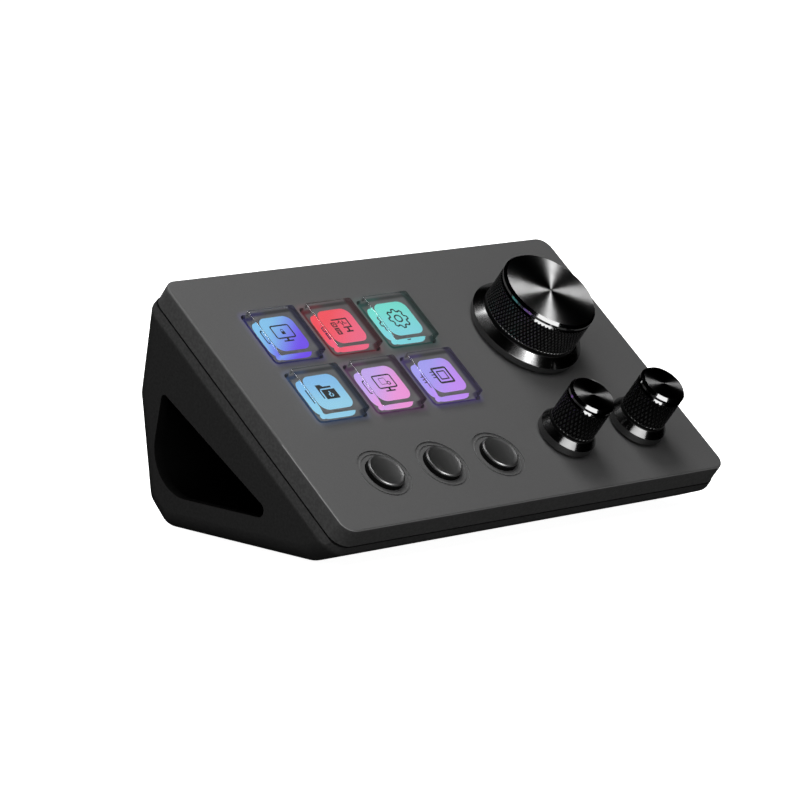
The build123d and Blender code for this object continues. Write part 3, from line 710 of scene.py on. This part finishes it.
def knurl_finish(name, body, shine):
    """Black anodising with polished diamond tips, and dull cuts between them in painted shade."""
    finish = Finish(name, metallic=1.0)
    spot = finish.node("ShaderNodeSeparateXYZ", {}, {0: finish.position()})
    x, y = (Wire(finish, spot.socket.node.outputs[i]) / MM for i in range(2))
    radius = finish.node("ShaderNodeMath", {"operation": "SQRT"}, {0: x * x + y * y})
    # Painted shade: below the tips' radius the colour falls to a dark grey.
    tip = finish.between(radius, body - 0.6 * KNURL_DEPTH, body - 0.1 * KNURL_DEPTH)
    finish.feed("Base Color", finish.blend(tip, grey(22), grey(shine)))
    finish.feed("Roughness", finish.between(tip, 0.0, 1.0, 0.5, 0.2))
    return finish


# Painted shade: groove, neck, skirt underside and the hollow under the face are painted dark.
painted_shade_black = Finish("painted_shade_black", metallic=1.0)
spot = painted_shade_black.position()
fine, finer = painted_shade_black.noise(spot, 900.0), painted_shade_black.noise(spot, 1200.0)
painted_shade_black.feed("Base Color", painted_shade_black.blend(fine, grey(30), grey(40)))
painted_shade_black.feed("Roughness", painted_shade_black.between(finer, 0.3, 0.7, 0.35, 0.45))

bright = Finish("bright_cut", metallic=1.0)
spot = bright.position()
bright.feed("Base Color", bright.blend(bright.noise(spot, 900.0), grey(136), grey(142)))
bright.feed("Roughness", bright.between(bright.noise(spot, 1200.0), 0.3, 0.7, 0.07, 0.10))

KNOB_TOP = 14.8
SKIRT_LOW, SKIRT_EDGE = 0.6, 2.57
BIG = dict(
    face=big_face, body=12.65, skirt=14.98, foot=14.72, neck=4.35, knurl_low=5.5, core=9.0,
    teeth=80, rows=8, shine=120,
)
# Painted shade: the small knobs' knurl tips are a darker grey than the big knob's.
SMALL = dict(
    face=small_face, body=6.03, skirt=7.38, foot=7.42, neck=4.2, knurl_low=5.1, core=4.9,
    teeth=36, rows=6, shine=84,
)
BEVEL_IN, BEVEL_DOWN, FACE_LIP, FACE_DEPTH, RIM_DEPTH = 0.6, 0.75, 0.7, 0.6, 1.8
CHAMFER_LOW, CHAMFER_IN, GROOVE_LOW, GROOVE_TOP = 12.6, 0.35, 13.2, 13.45
TURNED, SPUN, KNURLED, CUT, DULL_AND_SHADED = range(5)       # places of a knob's finishes on its mesh


def knob(name, size, place, body):
    """Rings from the inside of the skirt over the barrel to the face, then down the bore."""
    steps = 4 * size["teeth"]
    r = size["body"]
    rings, finish_of_row = [], []

    def ring(radius, height, finish, cut=0.0, lift=0.0, row=0):
        """One ring; the knurl's valleys lie in by cut, and are raised by lift."""
        made = []
        for i in range(steps):
            # A diamond is four steps wide and four rows high, and its valleys run aslant.
            low = min(i % 4, 4 - i % 4) + min(row % 4, 4 - row % 4) == 2
            pull = climb = 0
            if i % 2 == 1 and row % 2 == 0 and cut:
                pull = TIP_PULL if (i - row) % 4 == 3 else -TIP_PULL
            if i % 2 == 0 and row % 2 == 1:
                climb = TIP_PULL if (row - i) % 4 == 3 else -TIP_PULL
            at, angle = radius - cut * low, 2 * pi * (i + pull) / steps
            made.append((at * cos(angle), at * sin(angle), height + lift * low + climb * rise))
        rings.append(made)
        finish_of_row.append(finish)

    rows = 2 * size["rows"]
    rise = (CHAMFER_LOW - size["knurl_low"]) / rows
    skirt, foot = size["skirt"], size["foot"]
    neck = size["neck"]
    # Under the skirt, its foot, flare and upper edge, and the hollow where the barrel rises.
    for radius, height, finish in [
        (size["core"], SKIRT_LOW + 1.0, DULL_AND_SHADED), (foot - 1.2, SKIRT_LOW, DULL_AND_SHADED),
        (foot - 0.1, SKIRT_LOW, TURNED), (foot, SKIRT_LOW + 0.08, TURNED),
        (skirt, SKIRT_EDGE - 0.1, TURNED), (skirt - 0.07, SKIRT_EDGE, TURNED),
        (r + 0.16, neck - 0.13, DULL_AND_SHADED), (r + 0.05, neck, DULL_AND_SHADED), (r, neck + 0.12, DULL_AND_SHADED),
        (r, size["knurl_low"] - 0.2, KNURLED),
    ]:
        ring(radius, height, finish)
    for row in range(rows):
        ring(r, size["knurl_low"] + rise * row, KNURLED, cut=KNURL_DEPTH, row=row)
    # The chamfer cuts the diamonds off; above it are the groove, a band, the bevel and the lip.
    tooth = KNURL_DEPTH / CHAMFER_IN * (GROOVE_LOW - CHAMFER_LOW)
    ring(r, CHAMFER_LOW, CUT, cut=KNURL_DEPTH, lift=tooth, row=rows)
    ring(r - CHAMFER_IN, GROOVE_LOW, DULL_AND_SHADED)
    ring(r - CHAMFER_IN, GROOVE_TOP, DULL_AND_SHADED)
    ring(r - 0.03, GROOVE_TOP, CUT)
    ring(r, GROOVE_TOP + 0.03, CUT)
    ring(r, KNOB_TOP - BEVEL_DOWN, CUT)
    ring(r - BEVEL_IN, KNOB_TOP, SPUN)
    ring(r - FACE_LIP, KNOB_TOP, DULL_AND_SHADED)
    ring(r - FACE_LIP, KNOB_TOP - RIM_DEPTH, DULL_AND_SHADED)
    ring(size["core"], KNOB_TOP - RIM_DEPTH, DULL_AND_SHADED)
    piece = skin(name, rings, anodised.material, (*place, 0), body, smooth=20)
    mesh = piece.data
    knurl = knurl_finish(f"{name}_knurl", r, size["shine"])
    for extra in (size["face"], knurl, bright, painted_shade_black):
        mesh.materials.append(extra.material)
    bm = bmesh.new()
    bm.from_mesh(mesh)
    bm.faces.ensure_lookup_table()
    caps = [bm.faces[0], bm.faces[len(bm.faces) - 1]]
    for index, face in enumerate(bm.faces):
        row = (index - 1) // steps
        if 0 <= row < len(finish_of_row) - 1:
            face.material_index = finish_of_row[row]
    # Its two flat ends go, and a wall between their edges makes the bore.
    bmesh.ops.delete(bm, geom=caps, context="FACES_ONLY")
    edges = [e for e in bm.edges if len(e.link_faces) == 1]
    bmesh.ops.bridge_loops(bm, edges=edges)
    # A facet of the knurl folds along its deepest level diagonal.
    for face in [f for f in bm.faces if f.material_index == KNURLED and len(f.verts) == 4]:
        far = [round(v.co.xy.length / MM, 3) for v in face.verts]
        level = [pair for pair in ((0, 2), (1, 3)) if far[pair[0]] == far[pair[1]]]
        if len(set(far)) > 1 and level:
            first, second = min(level, key=lambda pair: far[pair[0]])
            bmesh.utils.face_split(face, face.verts[first], face.verts[second])
    for face in bm.faces:
        face.smooth = face.material_index != KNURLED
    bm.to_mesh(mesh)
    bm.free()
    mesh.set_sharp_from_angle(angle=radians(20))
    return piece


def face_disc(name, size, place, body):
    """The spun face, let into the barrel's end."""
    r, low = size["body"] - FACE_LIP, KNOB_TOP - FACE_DEPTH
    outline = [(0.05, low), (r, low), (r, KNOB_TOP), (r * 0.5, KNOB_TOP), (0.05, KNOB_TOP)]
    spun = size["face"].material
    return turned(name, outline, spun, place, body, steps=4 * size["teeth"])


KNOBS = {
    "big": (BIG, (33.0, 10.4)),
    "left": (SMALL, (20.3, -23.2)),
    "right": (SMALL, (45.7, -23.2)),
}
flagged = bpy.data.collections.new("flagged_off_front_box")
for side, (size, place) in KNOBS.items():
    made = knob(f"{side}_knob", size, place, f"{side}_knob")
    face = face_disc(f"{side}_knob_face", size, (*place, 0), f"{side}_knob")
    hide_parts(f"{side}_knob_shell")
    if size is SMALL:
        flagged.objects.link(face)

# The small knobs' faces are kept out of the front boxes' light, as by a flag on a stand.
front_box.light_linking.receiver_collection = flagged
low_box.light_linking.receiver_collection = flagged
for entry in flagged.collection_objects:
    entry.light_linking.link_state = "EXCLUDE"
